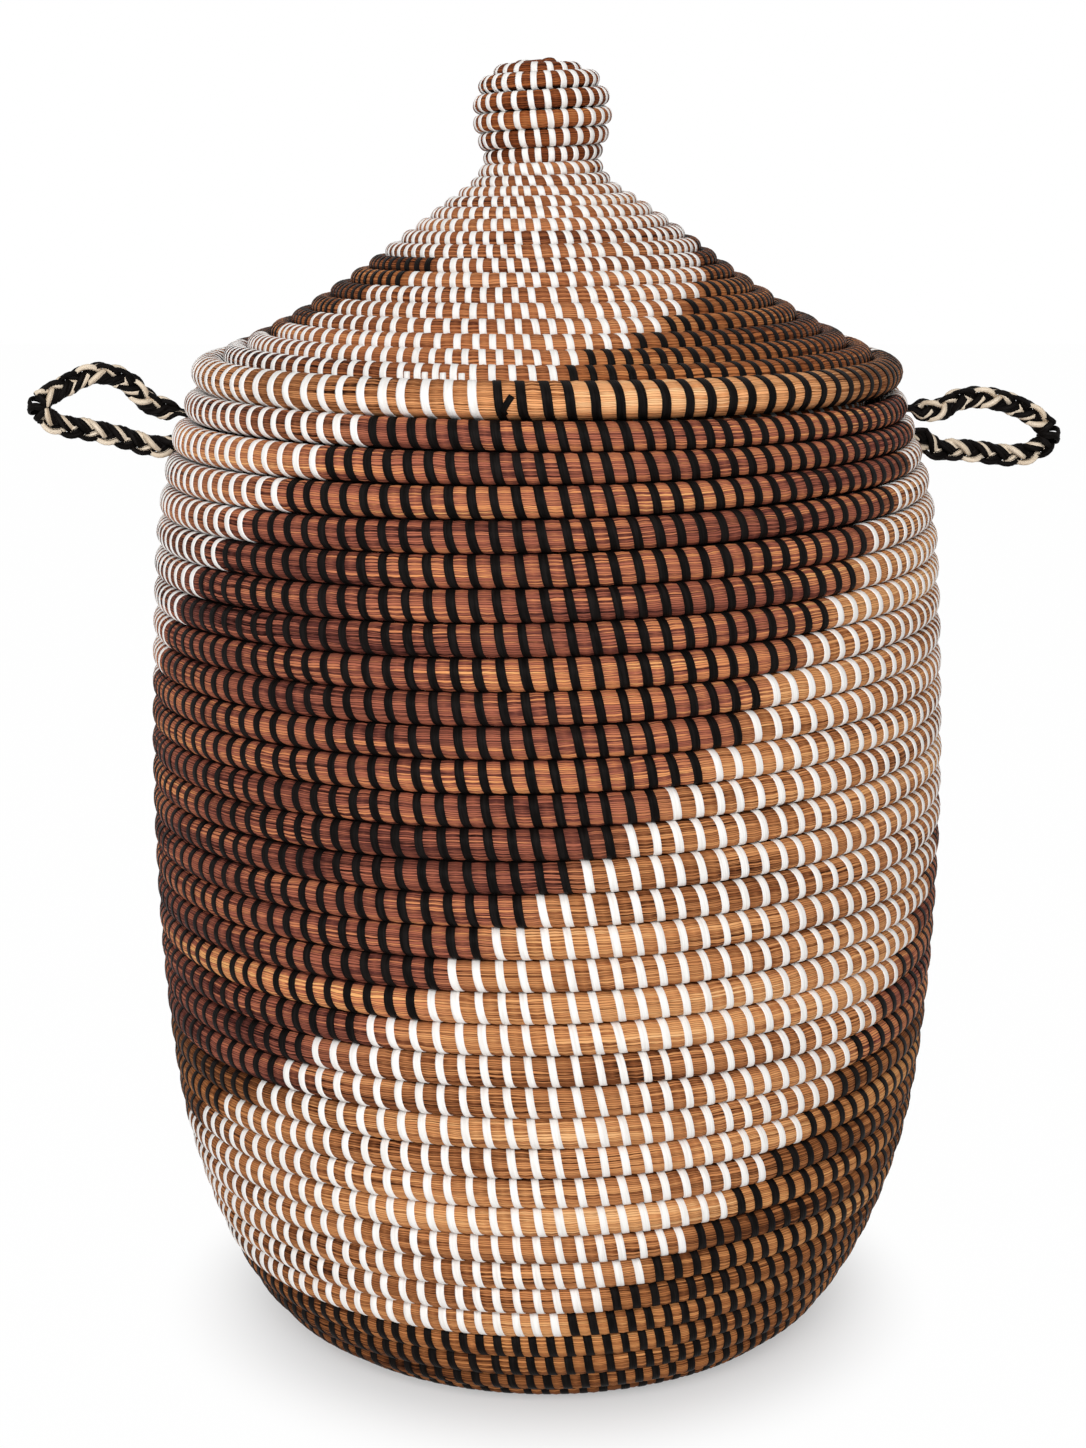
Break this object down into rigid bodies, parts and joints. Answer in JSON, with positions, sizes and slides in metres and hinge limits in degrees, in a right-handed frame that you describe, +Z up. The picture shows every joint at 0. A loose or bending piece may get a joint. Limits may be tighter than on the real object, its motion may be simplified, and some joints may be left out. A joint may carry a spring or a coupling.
{
  "type": "lidded coiled basket",
  "caption": "Tall barrel-shaped basket of coiled grass stitched with flat strips, with a cone lid topped by a round knob and a braided loop handle on each side.",
  "frame": {"origin": "centre of the base on the floor", "axes": "+Z up along the basket's axis; the front faces -Y; the two loop handles stand out along -X and +X"},
  "size_m": [0.5139, 0.4024, 0.6476],
  "materials": {
    "dried_grass_red": "satin",
    "dried_grass_gold": "satin",
    "dried_grass_dark": "satin",
    "white_strip": "satin",
    "black_strip": "satin",
    "cream_strip": "satin"
  },
  "bodies": {
    "basket": {"base_coil": "dried_grass_dark", "wall_coil_lower": "dried_grass_gold", "wall_coil_middle": "dried_grass_gold", "wall_coil_upper": "dried_grass_red"},
    "lid": {"lid_rim_coil": "dried_grass_gold", "lid_cone_coil": "dried_grass_gold", "lid_knob_coil": "dried_grass_gold", "lid_locating_coil": "dried_grass_gold"},
    "handle_left": {"handle_left_strand_1": "black_strip", "handle_left_strand_2": "cream_strip", "handle_left_strand_3": "black_strip", "handle_left_binding": "black_strip"},
    "handle_right": {"handle_right_strand_1": "black_strip", "handle_right_strand_2": "cream_strip", "handle_right_strand_3": "black_strip", "handle_right_binding": "black_strip"}
  },
  "joints": [
    {"name": "lid_lift", "type": "slide", "parent": "basket", "child": "lid", "axis": [0, 0, 1], "range_m": [0, 0.25]},
    {"name": "handle_left_swing", "type": "hinge", "parent": "basket", "child": "handle_left", "pos_m": [-0.1785, 0, 0.4656], "axis": [0, 0, 1], "range_deg": [-40, 40]},
    {"name": "handle_right_swing", "type": "hinge", "parent": "basket", "child": "handle_right", "pos_m": [0.1782, 0, 0.46646], "axis": [0, 0, 1], "range_deg": [-40, 40]}
  ]
}
